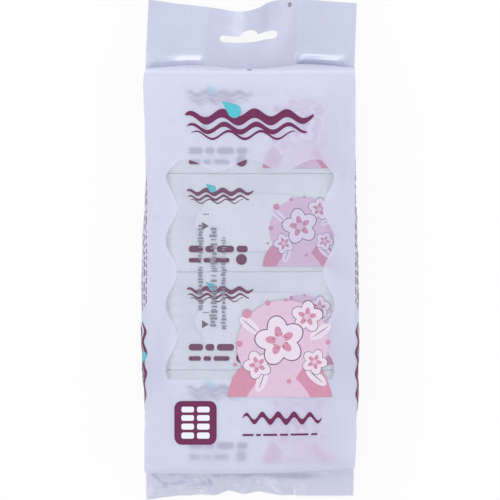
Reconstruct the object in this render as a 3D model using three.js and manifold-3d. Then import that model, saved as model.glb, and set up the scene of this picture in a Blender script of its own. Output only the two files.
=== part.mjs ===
// A multipack of wet wipes, laid on its back: a side-gusset bag of milky film round eight pocket packs.
// Millimetres. +X is the right of the front panel, +Y runs to the header, +Z is out of the front panel.

import * as THREE from "three";
import { mergeVertices } from "three/addons/utils/BufferGeometryUtils.js";
import Module from "manifold-3d";

// Driving dimensions of a pocket pack, which lies with its length across the bag
const PACK_LENGTH = 135;
const PACK_WIDTH = 65.2;
const PACK_THICKNESS = 21;
const PACK_CORNER = 8;
const SHOULDER_LENGTH = 12;
const FIN_LENGTH = 9;
const FIN_INSET = 5.6;
const FIN_THICKNESS = 0.8;
const CRIMP_PITCH = 1.5;
const CRIMP_HEIGHT = 0.5;
const SEAM_WIDTH = 10;
const SEAM_THICKNESS = 0.5;
// A pillow fills out along its shoulders: a lower power gives a blunter end
const SHOULDER_POWER = 0.62;
const SHOULDER_SHARES = [0, 0.08, 0.25, 0.5, 0.75, 1];
// The most that a corner may take of half the thickness
const CORNER_SHARE = 0.9;

// Driving dimensions of the reseal label, with its pull tab at the left end
const LABEL_LENGTH = 62;
const LABEL_INSET = 13.6;
const LABEL_CORNER = 7;
const LABEL_THICKNESS = 0.2;
const TAB_LENGTH = 6;
const TAB_WIDTH = 16;

// How the packs are stacked, from the back panel to the front one
const ROWS = 4;
const LAYERS = ["back", "front"];
const CLEARANCE = 0.3;

// Driving dimensions of the bag
const FILM = 0.4;
const SIDE_ROOM = 2.7;
const HEAD_ROOM = 8.1;
const TAIL_ROOM = 3.2;
const END_CURVE = 12;
const GUSSET_FOLD = 40;
const VALLEY_DEPTH = 9;
const SIDE_BULGE = 13.5;
const HEADER_HEIGHT = 44;
const HEADER_LEVEL = 29;
const TAIL_LENGTH = 19.8;
const TAIL_LEVEL = 14;
const END_SHARES = [0, 0.1, 0.25, 0.45, 0.65, 0.85, 1];
const VENT_DIAMETER = 6;
const VENT_FROM_TOP = 30;

// Driving dimensions of the hang slot: a long slot with a raised middle
const SLOT_WIDTH = 39;
const SLOT_HEIGHT = 5.7;
const SLOT_PEAK = 10.2;
const PEAK_WIDTH = 12;
const SLOT_BASE = 17.9;
const SLOT_CENTRE = -1;

// The curve of each panel as it leaves its seal and swings round the packs. Its two middle points lie out by
// these shares of the room there, and the first still has this far to go to the height of its panel.
const HEAD_FRONT = { reach: [0.65, 0.25], toPanel: 2.4 };
const HEAD_BACK = { reach: [0.5, 0.2], toPanel: 5.8 };
const TAIL_FRONT = { reach: [1.2, 1.3], toPanel: 9 };
const TAIL_BACK = { reach: [1.1, 0.6], toPanel: 4.9 };

// The layers of a gusset lie shut on each other next to a seal, and part between these shares of the way in
const GUSSET_PARTS = [0.45, 0.85];

// How far the header and the tail lean back, in degrees, from the left edge (-1) to the right edge (1)
const HEADER_LEAN = [
  [-1, 3], [-0.75, 17], [-0.4, 25], [-0.13, 32], [0.06, 25], [0.17, 12], [0.4, 2], [0.65, 9], [1, 17],
];
const TAIL_LEAN = [
  [-1, 6], [-0.7, 25], [-0.35, 28], [-0.2, 40], [-0.05, 30], [0.08, 38], [0.3, 28], [1, 27],
];

// Mesh fineness
const PANEL_STEP = 8;
const FOLD_STEPS = 4;
const CORNER_STEPS = 4;
const SLOT_POINTS = 64;
const VENT_SIDES = 16;
const LABEL_ARC_STEPS = 3;
const LEAN_BISECTIONS = 30;
const CAP_BOW = 0.001;

const wasm = await Module();
wasm.setup();

const { lerp } = THREE.MathUtils;
const crease = PACK_LENGTH / 2 + SIDE_ROOM;
const rowPitch = PACK_WIDTH + CLEARANCE;
const layerPitch = PACK_THICKNESS + LABEL_THICKNESS + 2 * CLEARANCE;
const stackEnd = (ROWS * rowPitch) / 2;
const depth = 2 * FILM + CLEARANCE + LAYERS.length * layerPitch;

// Solids

function asSolid(geometry) {
  const bare = geometry.index ? geometry.toNonIndexed() : geometry.clone();
  bare.deleteAttribute("normal");
  bare.deleteAttribute("uv");
  const merged = mergeVertices(bare);
  return new wasm.Manifold(
    new wasm.Mesh({
      numProp: 3,
      vertProperties: new Float32Array(merged.attributes.position.array),
      triVerts: new Uint32Array(merged.index.array),
    }),
  );
}

function asGeometry(solid) {
  const mesh = solid.getMesh();
  const geometry = new THREE.BufferGeometry();
  geometry.setAttribute("position", new THREE.BufferAttribute(mesh.vertProperties, 3));
  geometry.setIndex(new THREE.BufferAttribute(mesh.triVerts, 1));
  return geometry;
}

function signedVolume(points, triangles) {
  const cross = new THREE.Vector3();
  const sum = (total, [a, b, c]) => total + points[a].dot(cross.crossVectors(points[b], points[c]));
  return triangles.reduce(sum, 0) / 6;
}

// The triangles that close a ring, given its outline as drawn on the ring's own plane.
// The outline's sides are bowed out a little first, so that points in one straight line all become corners.
function capTriangles(outline) {
  const box = new THREE.Box2().setFromPoints(outline);
  const centre = box.getCenter(new THREE.Vector2());
  const half = box.getSize(new THREE.Vector2()).divideScalar(2);
  const bowed = outline.map((p) => {
    const { x, y } = p.clone().sub(centre);
    const bow = (across) => 1 + CAP_BOW * (1 - across ** 2);
    return new THREE.Vector2(x * bow(y / half.y), y * bow(x / half.x));
  });
  const counterClockwise = !THREE.ShapeUtils.isClockWise(bowed);
  return THREE.ShapeUtils.triangulateShape(bowed, []).map(([a, b, c]) => {
    const turn = THREE.ShapeUtils.area([bowed[a], bowed[b], bowed[c]]);
    return turn > 0 === counterClockwise ? [a, b, c] : [a, c, b];
  });
}

// A closed body through rings of points. Each ring is { points, outline }, and all have as many points.
function loft(rings) {
  const count = rings[0].points.length;
  const points = rings.flatMap((ring) => ring.points);
  const triangles = capTriangles(rings[0].outline).map(([a, b, c]) => [a, c, b]);
  for (let ring = 0; ring < rings.length - 1; ring++) {
    for (let i = 0; i < count; i++) {
      const a = ring * count + i;
      const b = ring * count + ((i + 1) % count);
      triangles.push([a, b, b + count], [a, b + count, a + count]);
    }
  }
  const last = (rings.length - 1) * count;
  triangles.push(...capTriangles(rings.at(-1).outline).map((corners) => corners.map((i) => i + last)));
  const outward = signedVolume(points, triangles) > 0;
  const geometry = new THREE.BufferGeometry().setFromPoints(points);
  geometry.setIndex(triangles.flatMap(([a, b, c]) => (outward ? [a, b, c] : [a, c, b])));
  return geometry;
}

// A profile in X and Z, drawn out along Y to a width and centred on it
function acrossWidth(profile, width) {
  const geometry = new THREE.ExtrudeGeometry(new THREE.Shape(profile), { depth: width, bevelEnabled: false });
  return geometry.rotateX(Math.PI / 2).translate(0, width / 2, 0);
}

// Pocket pack: a pillow of film with a crimped fin at each end and a seam folded flat under it

const pillowHalf = (PACK_THICKNESS - SEAM_THICKNESS) / 2;
const pillowMiddle = PACK_THICKNESS - pillowHalf;
const pillowEnd = PACK_LENGTH / 2 - FIN_LENGTH;
const finWidth = PACK_WIDTH - 2 * FIN_INSET;

// How full the pillow is at a share of its shoulder, from flat at the fin to full
const fullness = (share) => (1 - (1 - share) ** 2) ** SHOULDER_POWER;

function pillowStations() {
  const stations = SHOULDER_SHARES.map((share) => ({
    x: pillowEnd - share * SHOULDER_LENGTH,
    halfThickness: lerp(FIN_THICKNESS / 2, pillowHalf, fullness(share)),
    halfWidth: lerp(finWidth / 2, PACK_WIDTH / 2, fullness(share)),
  }));
  return [...stations.map((s) => ({ ...s, x: -s.x })), ...stations.reverse()];
}

function pillowRing({ x, halfThickness, halfWidth }) {
  const radius = Math.min(PACK_CORNER, CORNER_SHARE * halfThickness);
  const outline = [];
  for (let corner = 0; corner < 4; corner++) {
    const y = (corner === 0 || corner === 3 ? 1 : -1) * (halfWidth - radius);
    const z = (corner < 2 ? 1 : -1) * (halfThickness - radius);
    for (let step = 0; step <= CORNER_STEPS; step++) {
      const angle = (corner + step / CORNER_STEPS) * (Math.PI / 2);
      outline.push(new THREE.Vector2(y + radius * Math.cos(angle), z + radius * Math.sin(angle)));
    }
  }
  return { outline, points: outline.map((p) => new THREE.Vector3(x, p.x, pillowMiddle + p.y)) };
}

function finProfile() {
  const steps = Math.round(FIN_LENGTH / (CRIMP_PITCH / 2));
  const top = [];
  const bottom = [];
  for (let i = -1; i <= steps; i++) {
    const x = pillowEnd + (i * FIN_LENGTH) / steps;
    const ridge = i < 1 ? 0 : ((i % 2 ? 1 : -1) * CRIMP_HEIGHT) / 2;
    top.push(new THREE.Vector2(x, pillowMiddle + ridge + FIN_THICKNESS / 2));
    bottom.push(new THREE.Vector2(x, pillowMiddle + ridge - FIN_THICKNESS / 2));
  }
  return [...bottom, ...top.reverse()];
}

// The seam lies along the underside and reaches a little into it
function seamProfile() {
  const sunk = FIN_THICKNESS / 4;
  const under = pillowStations().map((s) => new THREE.Vector2(s.x, pillowMiddle - s.halfThickness));
  const outer = under.map((p) => new THREE.Vector2(p.x, p.y - SEAM_THICKNESS));
  const inner = under.map((p) => new THREE.Vector2(p.x, p.y + sunk));
  return [...outer, ...inner.reverse()];
}

function pocketPack() {
  const pillow = asSolid(loft(pillowStations().map(pillowRing)));
  const rightFin = acrossWidth(finProfile(), finWidth);
  const leftFin = rightFin.clone().rotateZ(Math.PI);
  const seam = acrossWidth(seamProfile(), SEAM_WIDTH);
  return asGeometry([rightFin, leftFin, seam].reduce((body, piece) => body.add(asSolid(piece)), pillow));
}

// Reseal label: a flat sticker with rounded corners and a tab to pull

function resealLabel() {
  const right = LABEL_LENGTH / 2;
  const top = PACK_WIDTH / 2 - LABEL_INSET;
  const r = LABEL_CORNER;
  const shape = new THREE.Shape();
  shape.moveTo(-right + r, -top).lineTo(right - r, -top);
  shape.absarc(right - r, -top + r, r, -Math.PI / 2, 0).absarc(right - r, top - r, r, 0, Math.PI / 2);
  shape.absarc(-right + r, top - r, r, Math.PI / 2, Math.PI).lineTo(-right, TAB_WIDTH / 2);
  shape.absellipse(-right, 0, TAB_LENGTH, TAB_WIDTH / 2, Math.PI / 2, (3 * Math.PI) / 2);
  shape.absarc(-right + r, -top + r, r, Math.PI, (3 * Math.PI) / 2);
  return new THREE.ExtrudeGeometry(shape, {
    depth: LABEL_THICKNESS,
    bevelEnabled: false,
    curveSegments: LABEL_ARC_STEPS,
  });
}

// Bag: one loft of film, through rings that cross it from the header, over the packs, to the tail.
// A ring of the body has a front and a back edge, as [y, z], and folds in at each side between them.

const rootHalf = 2.5 * FILM;
const bandEdge = crease - GUSSET_FOLD;

// Places across a panel, from -1 at its left edge to 1 at its right one. A seal has four layers of film where
// the gussets are folded in and two between them, so it thins at the edge of each gusset.
function panelPlaces() {
  const band = bandEdge / crease;
  const thinned = (bandEdge - FILM) / crease;
  return [[-1, -band], [-thinned, thinned], [band, 1]].flatMap(([from, to]) => {
    const steps = Math.ceil(((to - from) * crease) / PANEL_STEP);
    return Array.from({ length: steps + 1 }, (_, i) => lerp(from, to, i / steps));
  });
}

const places = panelPlaces().slice(1, -1);

const head = { towards: 1, root: stackEnd + HEAD_ROOM, level: HEADER_LEVEL, room: HEAD_ROOM };
const tail = { towards: -1, root: -stackEnd - TAIL_ROOM, level: TAIL_LEVEL, room: TAIL_ROOM };

// A profile leaves its seal, swings round the ends of the packs and runs out level along its panel.
function endProfile({ towards, level, room }, panel, { reach, toPanel }) {
  const at = (out, z) => new THREE.Vector2(towards * (stackEnd + out), z);
  const side = Math.sign(panel - level);
  return new THREE.CubicBezierCurve(
    at(room, level + side * rootHalf),
    at(reach[0] * room, panel - side * toPanel),
    at(reach[1] * room, panel),
    at(-END_CURVE, panel),
  );
}

const headFront = endProfile(head, depth, HEAD_FRONT);
const headBack = endProfile(head, 0, HEAD_BACK);
const tailFront = endProfile(tail, depth, TAIL_FRONT);
const tailBack = endProfile(tail, 0, TAIL_BACK);

// The gusset is folded deep at a seal, and it opens to a shallow valley along the body of the bag.
// Right at the seal its layers lie shut on each other. They part only once the packs begin, and apart is
// how far: 0 where the space inside ends at the fold, and 1 where it reaches into both lobes of the gusset.
function endStation(front, back, share) {
  const opening = 1 - (1 - share) ** 2;
  return {
    front: front.getPoint(share),
    back: back.getPoint(share),
    frontInward: inward(front, share, 1),
    backInward: inward(back, share, -1),
    foldDepth: share === 0 ? FILM : lerp(GUSSET_FOLD, VALLEY_DEPTH, opening),
    bulge: SIDE_BULGE * share * opening,
    apart: THREE.MathUtils.smoothstep(share, ...GUSSET_PARTS),
  };
}

// The direction square to a profile, from its film into the bag. The front profile has the bag under it.
function inward(profile, share, side) {
  const along = profile.getTangent(share);
  const square = new THREE.Vector2(-along.y, along.x);
  const towardsStack = new THREE.Vector2(-Math.sign(profile.getPoint(0).x), -side);
  return square.dot(towardsStack) > 0 ? square : square.negate();
}

function bodyStation(y) {
  return {
    front: new THREE.Vector2(y, depth),
    back: new THREE.Vector2(y, 0),
    frontInward: new THREE.Vector2(0, -1),
    backInward: new THREE.Vector2(0, 1),
    foldDepth: VALLEY_DEPTH,
    bulge: SIDE_BULGE,
    apart: 1,
  };
}

function bagStations() {
  const headStations = END_SHARES.map((share) => endStation(headFront, headBack, share));
  const tailStations = END_SHARES.map((share) => endStation(tailFront, tailBack, share)).reverse();
  const body = [];
  for (let row = 1; row < ROWS; row++) {
    body.push(bodyStation(stackEnd - row * rowPitch));
  }
  return [...headStations, ...body, ...tailStations];
}

// The ring of a station, on the film's outer face, or on its inner face when inset is the film's thickness
function bagRing(station, inset) {
  const front = station.front.clone().addScaledVector(station.frontInward, inset);
  const back = station.back.clone().addScaledVector(station.backInward, inset);
  const gap = front.distanceTo(back);
  const outerFold = crease - station.foldDepth;
  const outerControl = (crease + outerFold) / 2 + station.bulge;
  const cornerAngle = Math.PI - Math.atan2(gap / 4, outerControl - crease);
  const foldAngle = Math.atan2(gap / 4, outerControl - outerFold);
  const lobeEdge = crease - inset / Math.tan(cornerAngle / 2);
  const edge = inset ? lerp(outerFold - 2 * inset, lobeEdge, station.apart) : crease;
  const fold = Math.min(edge, outerFold) - inset / Math.sin(foldAngle);
  const control = (edge + fold) / 2 + station.bulge;

  const face = new THREE.QuadraticBezierCurve(
    new THREE.Vector2(edge, 0),
    new THREE.Vector2(control, gap / 4),
    new THREE.Vector2(fold, gap / 2),
  );
  const lower = face.getPoints(FOLD_STEPS);
  const upper = lower.map((p) => new THREE.Vector2(p.x, gap - p.y)).reverse();
  const rightSide = [...lower, ...upper.slice(1)];
  const outline = [
    ...places.map((place) => new THREE.Vector2(place * edge, 0)),
    ...rightSide,
    ...places.map((place) => new THREE.Vector2(-place * edge, gap)),
    ...rightSide.map((p) => new THREE.Vector2(-p.x, p.y)).reverse(),
  ];
  const points = outline.map((p) => {
    const { x: y, y: z } = back.clone().lerp(front, p.y / gap);
    return new THREE.Vector3(p.x, y, z);
  });
  return { outline, points };
}

// A seal is a stiff strip that leans about its root by an angle which changes across the bag.
function leanAt(lean, x) {
  const place = THREE.MathUtils.clamp(x / crease, -1, 1);
  let low = 0;
  let high = 1;
  for (let i = 0; i < LEAN_BISECTIONS; i++) {
    const half = (low + high) / 2;
    const below = lean.getPoint(half).x < place;
    low = below ? half : low;
    high = below ? high : half;
  }
  return THREE.MathUtils.degToRad(lean.getPoint(low).y);
}

// Where a point of the flat strip ends up: x across, s out from the root, h above its middle
function sealBend({ towards, root, level }, leans) {
  const lean = new THREE.SplineCurve(leans.map(([place, degrees]) => new THREE.Vector2(place, degrees)));
  return (x, s, h) => {
    const angle = leanAt(lean, x);
    const out = s * Math.cos(angle) + h * Math.sin(angle);
    return new THREE.Vector3(x, root + towards * out, level - s * Math.sin(angle) + h * Math.cos(angle));
  };
}

// The rings of a seal, from its root out, with as many points as a ring of the body
function sealRings(bend, length) {
  const halfThickness = (x) => (Math.abs(x) < bandEdge ? FILM : 2 * FILM);
  const sideSteps = 2 * FOLD_STEPS;
  const rightSide = Array.from(
    { length: sideSteps + 1 },
    (_, i) => new THREE.Vector2(crease, lerp(-2 * FILM, 2 * FILM, i / sideSteps)),
  );
  const bottom = places.map((place) => place * crease).map((x) => new THREE.Vector2(x, -halfThickness(x)));
  const turned = (points) => points.map((p) => p.clone().negate());
  const outline = [...bottom, ...rightSide, ...turned(bottom), ...turned(rightSide)];
  const rows = Math.ceil(length / PANEL_STEP);
  return Array.from({ length: rows + 1 }, (_, i) => {
    const s = lerp(2 * FILM, length, i / rows);
    return { outline, points: outline.map((p) => bend(p.x, s, p.y)) };
  });
}

function hangSlot(bend) {
  const reach = SLOT_HEIGHT;
  const r = SLOT_HEIGHT / 2;
  const end = SLOT_WIDTH / 2 - r;
  const rise = SLOT_PEAK - SLOT_HEIGHT;
  const peakRadius = ((PEAK_WIDTH / 2) ** 2 + rise ** 2) / (2 * rise);
  const peakCentre = SLOT_PEAK - peakRadius;
  const start = Math.atan2(SLOT_HEIGHT - peakCentre, PEAK_WIDTH / 2);
  const outline = new THREE.Path();
  outline.moveTo(-end, 0).lineTo(end, 0);
  outline.absarc(end, r, r, -Math.PI / 2, Math.PI / 2);
  outline.absarc(0, peakCentre, peakRadius, start, Math.PI - start);
  outline.absarc(-end, r, r, Math.PI / 2, (3 * Math.PI) / 2);
  const shape = new THREE.Shape(outline.getSpacedPoints(SLOT_POINTS));
  const cutter = new THREE.ExtrudeGeometry(shape, { depth: 2 * reach, bevelEnabled: false });
  const place = cutter.attributes.position;
  for (let i = 0; i < place.count; i++) {
    const bent = bend(place.getX(i) + SLOT_CENTRE, place.getY(i) + SLOT_BASE, place.getZ(i) - reach);
    place.setXYZ(i, bent.x, bent.y, bent.z);
  }
  return asSolid(cutter);
}

function ventHole() {
  const radius = VENT_DIAMETER / 2;
  const cutter = new THREE.CylinderGeometry(radius, radius, 4 * FILM, VENT_SIDES);
  return asSolid(cutter.rotateX(Math.PI / 2).translate(0, stackEnd - VENT_FROM_TOP, 0));
}

function outerBag() {
  const stations = bagStations();
  const headerBend = sealBend(head, HEADER_LEAN);
  const header = sealRings(headerBend, HEADER_HEIGHT);
  const tailSeal = sealRings(sealBend(tail, TAIL_LEAN), TAIL_LENGTH);
  const body = stations.map((station) => bagRing(station, 0));
  const outside = asSolid(loft([...header.reverse(), ...body, ...tailSeal]));
  const inside = asSolid(loft(stations.slice(1, -1).map((station) => bagRing(station, FILM))));
  return asGeometry(outside.subtract(inside).subtract(ventHole()).subtract(hangSlot(headerBend)));
}

// The whole multipack

const milkyFilm = new THREE.MeshStandardMaterial({ color: "#d3d9ed", roughness: 0.35, metalness: 0 });
const packFilm = new THREE.MeshStandardMaterial({ color: "#d7dbea", roughness: 0.4, metalness: 0 });
const labelFilm = new THREE.MeshStandardMaterial({ color: "#dcdfee", roughness: 0.3, metalness: 0 });

function named(name, geometry, material) {
  const mesh = new THREE.Mesh(geometry, material);
  mesh.name = name;
  return mesh;
}

function multipack() {
  const group = new THREE.Group();
  group.add(named("outer_bag", outerBag(), milkyFilm));
  const pack = pocketPack();
  const label = resealLabel();
  LAYERS.forEach((layer, level) => {
    for (let row = 0; row < ROWS; row++) {
      const place = new THREE.Group();
      place.position.set(0, stackEnd - (row + 0.5) * rowPitch, FILM + CLEARANCE + level * layerPitch);
      const sticker = named(`reseal_label_${layer}_${row + 1}`, label, labelFilm);
      sticker.position.z = PACK_THICKNESS + CLEARANCE;
      place.add(named(`pocket_pack_${layer}_${row + 1}`, pack, packFilm), sticker);
      group.add(place);
    }
  });
  return group;
}

// The origin is under the middle of the whole, on the surface that it lies on.
const model = multipack();
const box = new THREE.Box3().setFromObject(model);
const middle = box.getCenter(new THREE.Vector3());
model.position.set(-middle.x, -middle.y, -box.min.z);

export default model;
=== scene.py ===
import math

import bmesh
import bpy
import numpy as np
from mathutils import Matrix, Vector, geometry


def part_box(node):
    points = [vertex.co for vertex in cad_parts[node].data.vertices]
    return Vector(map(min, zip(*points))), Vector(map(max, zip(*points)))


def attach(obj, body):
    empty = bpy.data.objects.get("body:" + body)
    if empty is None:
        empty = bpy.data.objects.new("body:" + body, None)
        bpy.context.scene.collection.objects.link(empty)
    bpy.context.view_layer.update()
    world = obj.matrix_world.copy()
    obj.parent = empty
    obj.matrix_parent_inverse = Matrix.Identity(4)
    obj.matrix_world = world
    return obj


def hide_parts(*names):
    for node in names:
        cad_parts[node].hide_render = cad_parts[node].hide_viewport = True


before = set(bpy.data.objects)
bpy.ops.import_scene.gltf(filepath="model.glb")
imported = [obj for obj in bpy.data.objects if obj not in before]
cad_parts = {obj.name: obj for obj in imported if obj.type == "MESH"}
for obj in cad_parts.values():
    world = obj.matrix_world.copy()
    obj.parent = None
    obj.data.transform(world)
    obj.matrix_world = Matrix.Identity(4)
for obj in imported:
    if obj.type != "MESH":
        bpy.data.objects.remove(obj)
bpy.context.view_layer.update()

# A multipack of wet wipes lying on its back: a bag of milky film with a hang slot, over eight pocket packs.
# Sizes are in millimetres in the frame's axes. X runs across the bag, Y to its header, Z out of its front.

MM = 0.001


def box_mm(node):
    low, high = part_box(node)
    return np.array(low) / MM, np.array(high) / MM


# The packs, as the frame has them

ROWS = (1, 2, 3, 4)
LAYERS = ("front", "back")
PACK_LOW, PACK_HIGH = box_mm("pocket_pack_front_1")
PACK_LENGTH, PACK_WIDTH, PACK_THICKNESS = PACK_HIGH - PACK_LOW
PACK_GAP = PACK_LOW[1] - box_mm("pocket_pack_front_2")[1][1]
FIN_LENGTH = 9.0
FIN_INSET = 5.6
SHOULDER = 12.0
CORNER = 6.0
PILLOW_END = PACK_LENGTH / 2 - FIN_LENGTH
SEAM_THICKNESS = 0.5
SEAM_WIDTH = 10.0
TOOTH_PITCH = 0.75
TOOTH_DEPTH = 0.45
RIB_PITCH = 1.5
RIB_HEIGHT = 0.22

# The bag, as the frame has it

DEPTH = box_mm("outer_bag")[1][2]
CREASE = PACK_LENGTH / 2 + 2.7
STACK_TOP = PACK_HIGH[1] + PACK_GAP / 2
STACK_BOTTOM = box_mm("pocket_pack_front_4")[0][1] - PACK_GAP / 2
END_CURVE = 12.0
GUSSET_FOLD = 40.0
GUSSET_REACH = CREASE - GUSSET_FOLD
VALLEY_DEPTH = 9.0

# How far the sides of the bag reach out, from its tail to its header
SIDE_LINE = {
    -1: [
        (-146, 71.0), (-138, 70.5), (-108, 70.5), (-98, 71.2), (-88, 71.9), (-74, 72.5), (-61, 73.0),
        (-20, 73.0), (-7, 72.5), (13, 71.9), (27, 71.2), (40, 70.6), (60, 70.2), (81, 70.2), (101, 71.2),
        (122, 71.9),
    ],
    1: [
        (-146, 70.7), (-115, 71.2), (-108, 71.9), (-94, 72.5), (-61, 73.0), (-20, 73.0), (0, 72.5),
        (13, 71.9), (34, 71.2), (47, 70.7), (122, 70.7),
    ],
}

# The ends, where the panels come together in a seal: how far past the packs it begins, and at what level.
# A seal is drawn as thick as its layers need to show, half of it on each side of its middle.
HEAD_ROOM = 8.1
TAIL_ROOM = 0.8
HEAD = {"towards": 1, "root": STACK_TOP + HEAD_ROOM, "edge": STACK_TOP, "room": HEAD_ROOM, "level": 29.0}
TAIL = {
    "towards": -1, "root": STACK_BOTTOM - TAIL_ROOM, "edge": STACK_BOTTOM, "room": TAIL_ROOM, "level": 16.0,
}
HEADER_HEIGHT = 44.0
TAIL_LENGTH = 22.6
HEADER_HALF = 0.45
TAIL_HALF = 0.4
ROOT_HALF = 0.5

# How the panels swing round the packs at each end: shares of the room there, and the last climb to the panel.
# The front one hangs over the tail.
HEAD_FRONT = {"reach": (0.65, 0.25), "to_panel": 2.4}
HEAD_BACK = {"reach": (0.5, 0.2), "to_panel": 5.8}
TAIL_FRONT = {"reach": (6.6, 5.2), "to_panel": 9.0}
TAIL_BACK = {"reach": (4.4, 2.4), "to_panel": 4.9}

# How far the header and the tail lean back, in degrees, from the left edge (-1) to the right edge (1)
HEADER_LEAN = [
    (-1, 5), (-0.75, 17), (-0.4, 25), (-0.13, 32), (0.06, 25), (0.17, 12), (0.4, 2), (0.65, 9), (1, 17),
]
TAIL_LEAN = [(-1, 6), (-0.7, 25), (-0.35, 28), (-0.2, 40), (-0.05, 30), (0.08, 38), (0.3, 28), (1, 27)]

# The hang slot and the vent hole
SLOT_WIDTH = 39.0
SLOT_HEIGHT = 5.7
SLOT_PEAK = 10.2
PEAK_WIDTH = 12.0
SLOT_BASE = 17.9
SLOT_CENTRE = -1.9
VENT_RADIUS = 3.0
VENT_Y = STACK_TOP - 30.0

# The clear window: a wave runs round its top and sides, and its bottom is straight
WINDOW_HALF = 52.4
WINDOW_TOP = 56.5
WINDOW_BOTTOM = -86.4
WAVE_LENGTH = 43.2
WAVE_HEIGHT = 3.9
WAVE_START = 6.5

# How far apart the points of a mesh lie
STATION_STEPS = 160
FILM_STEP = 1.7
TAIL_STEP = 0.8
FIN_STEP = 1.1
LABEL_STEP = 1.8
PRINT_STEP = 2.0

# A layer of ink, and how far it lies above what it is printed on
INK = 0.02
INK_LIFT = 0.04


# Numbers along curves

def smooth(value, start, end):
    share = np.clip((np.asarray(value, float) - start) / (end - start), 0, 1)
    return share * share * (3 - 2 * share)


def bezier(points, t):
    a, b, c, d = (np.array(p, float) for p in points)
    t = np.asarray(t, float)[:, None]
    return (1 - t) ** 3 * a + 3 * (1 - t) ** 2 * t * b + 3 * (1 - t) * t**2 * c + t**3 * d


def spline(points, steps=24, closed=False):
    """A smooth line through points, with steps to each span."""
    p = np.array(points, float)
    count = len(p) if closed else len(p) - 1
    out = []
    for i in range(count):
        if closed:
            p0, p1, p2, p3 = p[i - 1], p[i], p[(i + 1) % len(p)], p[(i + 2) % len(p)]
        else:
            p0, p1, p2, p3 = p[max(i - 1, 0)], p[i], p[i + 1], p[min(i + 2, len(p) - 1)]
        t = np.linspace(0, 1, steps, endpoint=False)[:, None]
        v0, v1 = (p2 - p0) / 2, (p3 - p1) / 2
        out.append((2 * p1 - 2 * p2 + v0 + v1) * t**3 + (3 * p2 - 3 * p1 - 2 * v0 - v1) * t**2 + v0 * t + p1)
    if not closed:
        out.append(p[-1:])
    return np.concatenate(out)


def ripples(x, y, seed, length, count=9):
    """A gentle unevenness between -1 and 1, made of a few plane waves about that length."""
    rng = np.random.default_rng(seed)
    total = 0
    for _ in range(count):
        angle, phase, stretch = rng.uniform(0, math.pi), rng.uniform(0, 2 * math.pi), rng.uniform(0.6, 1.6)
        along = x * math.cos(angle) + y * math.sin(angle)
        total = total + np.sin(2 * math.pi * along / (length * stretch) + phase)
    return total / count**0.5 / 1.4


def fold_line(x, y, start, end, height, width):
    """A soft ridge, or a valley where height is negative, along a straight line that fades at both ends."""
    a, b = np.array(start, float), np.array(end, float)
    along = (b - a) / np.linalg.norm(b - a)
    t = ((x - a[0]) * along[0] + (y - a[1]) * along[1]) / np.linalg.norm(b - a)
    off = (x - a[0]) * along[1] - (y - a[1]) * along[0]
    fade = smooth(t, -0.05, 0.3) * (1 - smooth(t, 0.7, 1.05))
    return height * fade * np.exp(-np.abs(off / width) ** 1.5)


# Meshes

def inside(points, loop):
    x, y = points[:, 0, None], points[:, 1, None]
    x0, y0 = loop[:, 0], loop[:, 1]
    x1, y1 = np.roll(x0, -1), np.roll(y0, -1)
    crosses = (y0 > y) != (y1 > y)
    slope = (x1 - x0) / np.where(y1 == y0, 1, y1 - y0)
    return (crosses & (x < x0 + (y - y0) * slope)).sum(1) % 2 == 1


def walk(loop, step):
    """The loop's own points, with more between them so that none lie further apart than step."""
    out = []
    for a, b in zip(loop, np.roll(loop, -1, axis=0)):
        count = max(1, math.ceil(np.linalg.norm(b - a) / step - 0.05))
        out.append(a + (b - a) * np.arange(count)[:, None] / count)
    return np.concatenate(out)


def painted(points, shapes):
    """The slot of the last shape that holds each point, or -1 where none does or where that one is a hole."""
    slots = np.full(len(points), -1)
    for slot, loop in shapes:
        slots[inside(points, loop)] = -1 if slot is None else slot
    return slots


def sheet(shapes, step):
    """Triangles about step wide that fill flat shapes, the later ones on top.

    A shape is a slot, which is None for a hole, and a loop of points.
    """
    rims = [walk(np.asarray(loop, float), step) for _, loop in shapes]
    rim = np.concatenate(rims)
    low, high = rim.min(0), rim.max(0)
    rows = np.arange(low[1] + step / 2, high[1], step * 0.866)
    columns = np.arange(low[0] + step / 2, high[0], step)
    grid = np.array([(x + (j % 2) * step / 2, y) for j, y in enumerate(rows) for x in columns]).reshape(-1, 2)
    keep = painted(grid, shapes) >= 0
    for start in range(0, len(grid), 4000):
        part = slice(start, start + 4000)
        keep[part] &= ((grid[part, None] - rim[None]) ** 2).sum(2).min(1) > (0.55 * step) ** 2
    points = [Vector(p) for p in np.concatenate([rim, grid[keep]])]
    edges, start = [], 0
    for loop in rims:
        edges += [(start + i, start + (i + 1) % len(loop)) for i in range(len(loop))]
        start += len(loop)
    made = geometry.delaunay_2d_cdt(points, edges, [], 0, 1e-5, True)
    points = np.array([tuple(p) for p in made[0]])
    triangles = np.array(made[2])
    a, b, c = (points[triangles[:, i]] for i in range(3))
    turn = (b[:, 0] - a[:, 0]) * (c[:, 1] - a[:, 1]) - (b[:, 1] - a[:, 1]) * (c[:, 0] - a[:, 0])
    triangles[turn < 0] = triangles[turn < 0][:, ::-1]
    slots = painted((a + b + c) / 3, shapes)
    return points, triangles[slots >= 0], slots[slots >= 0]


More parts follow.
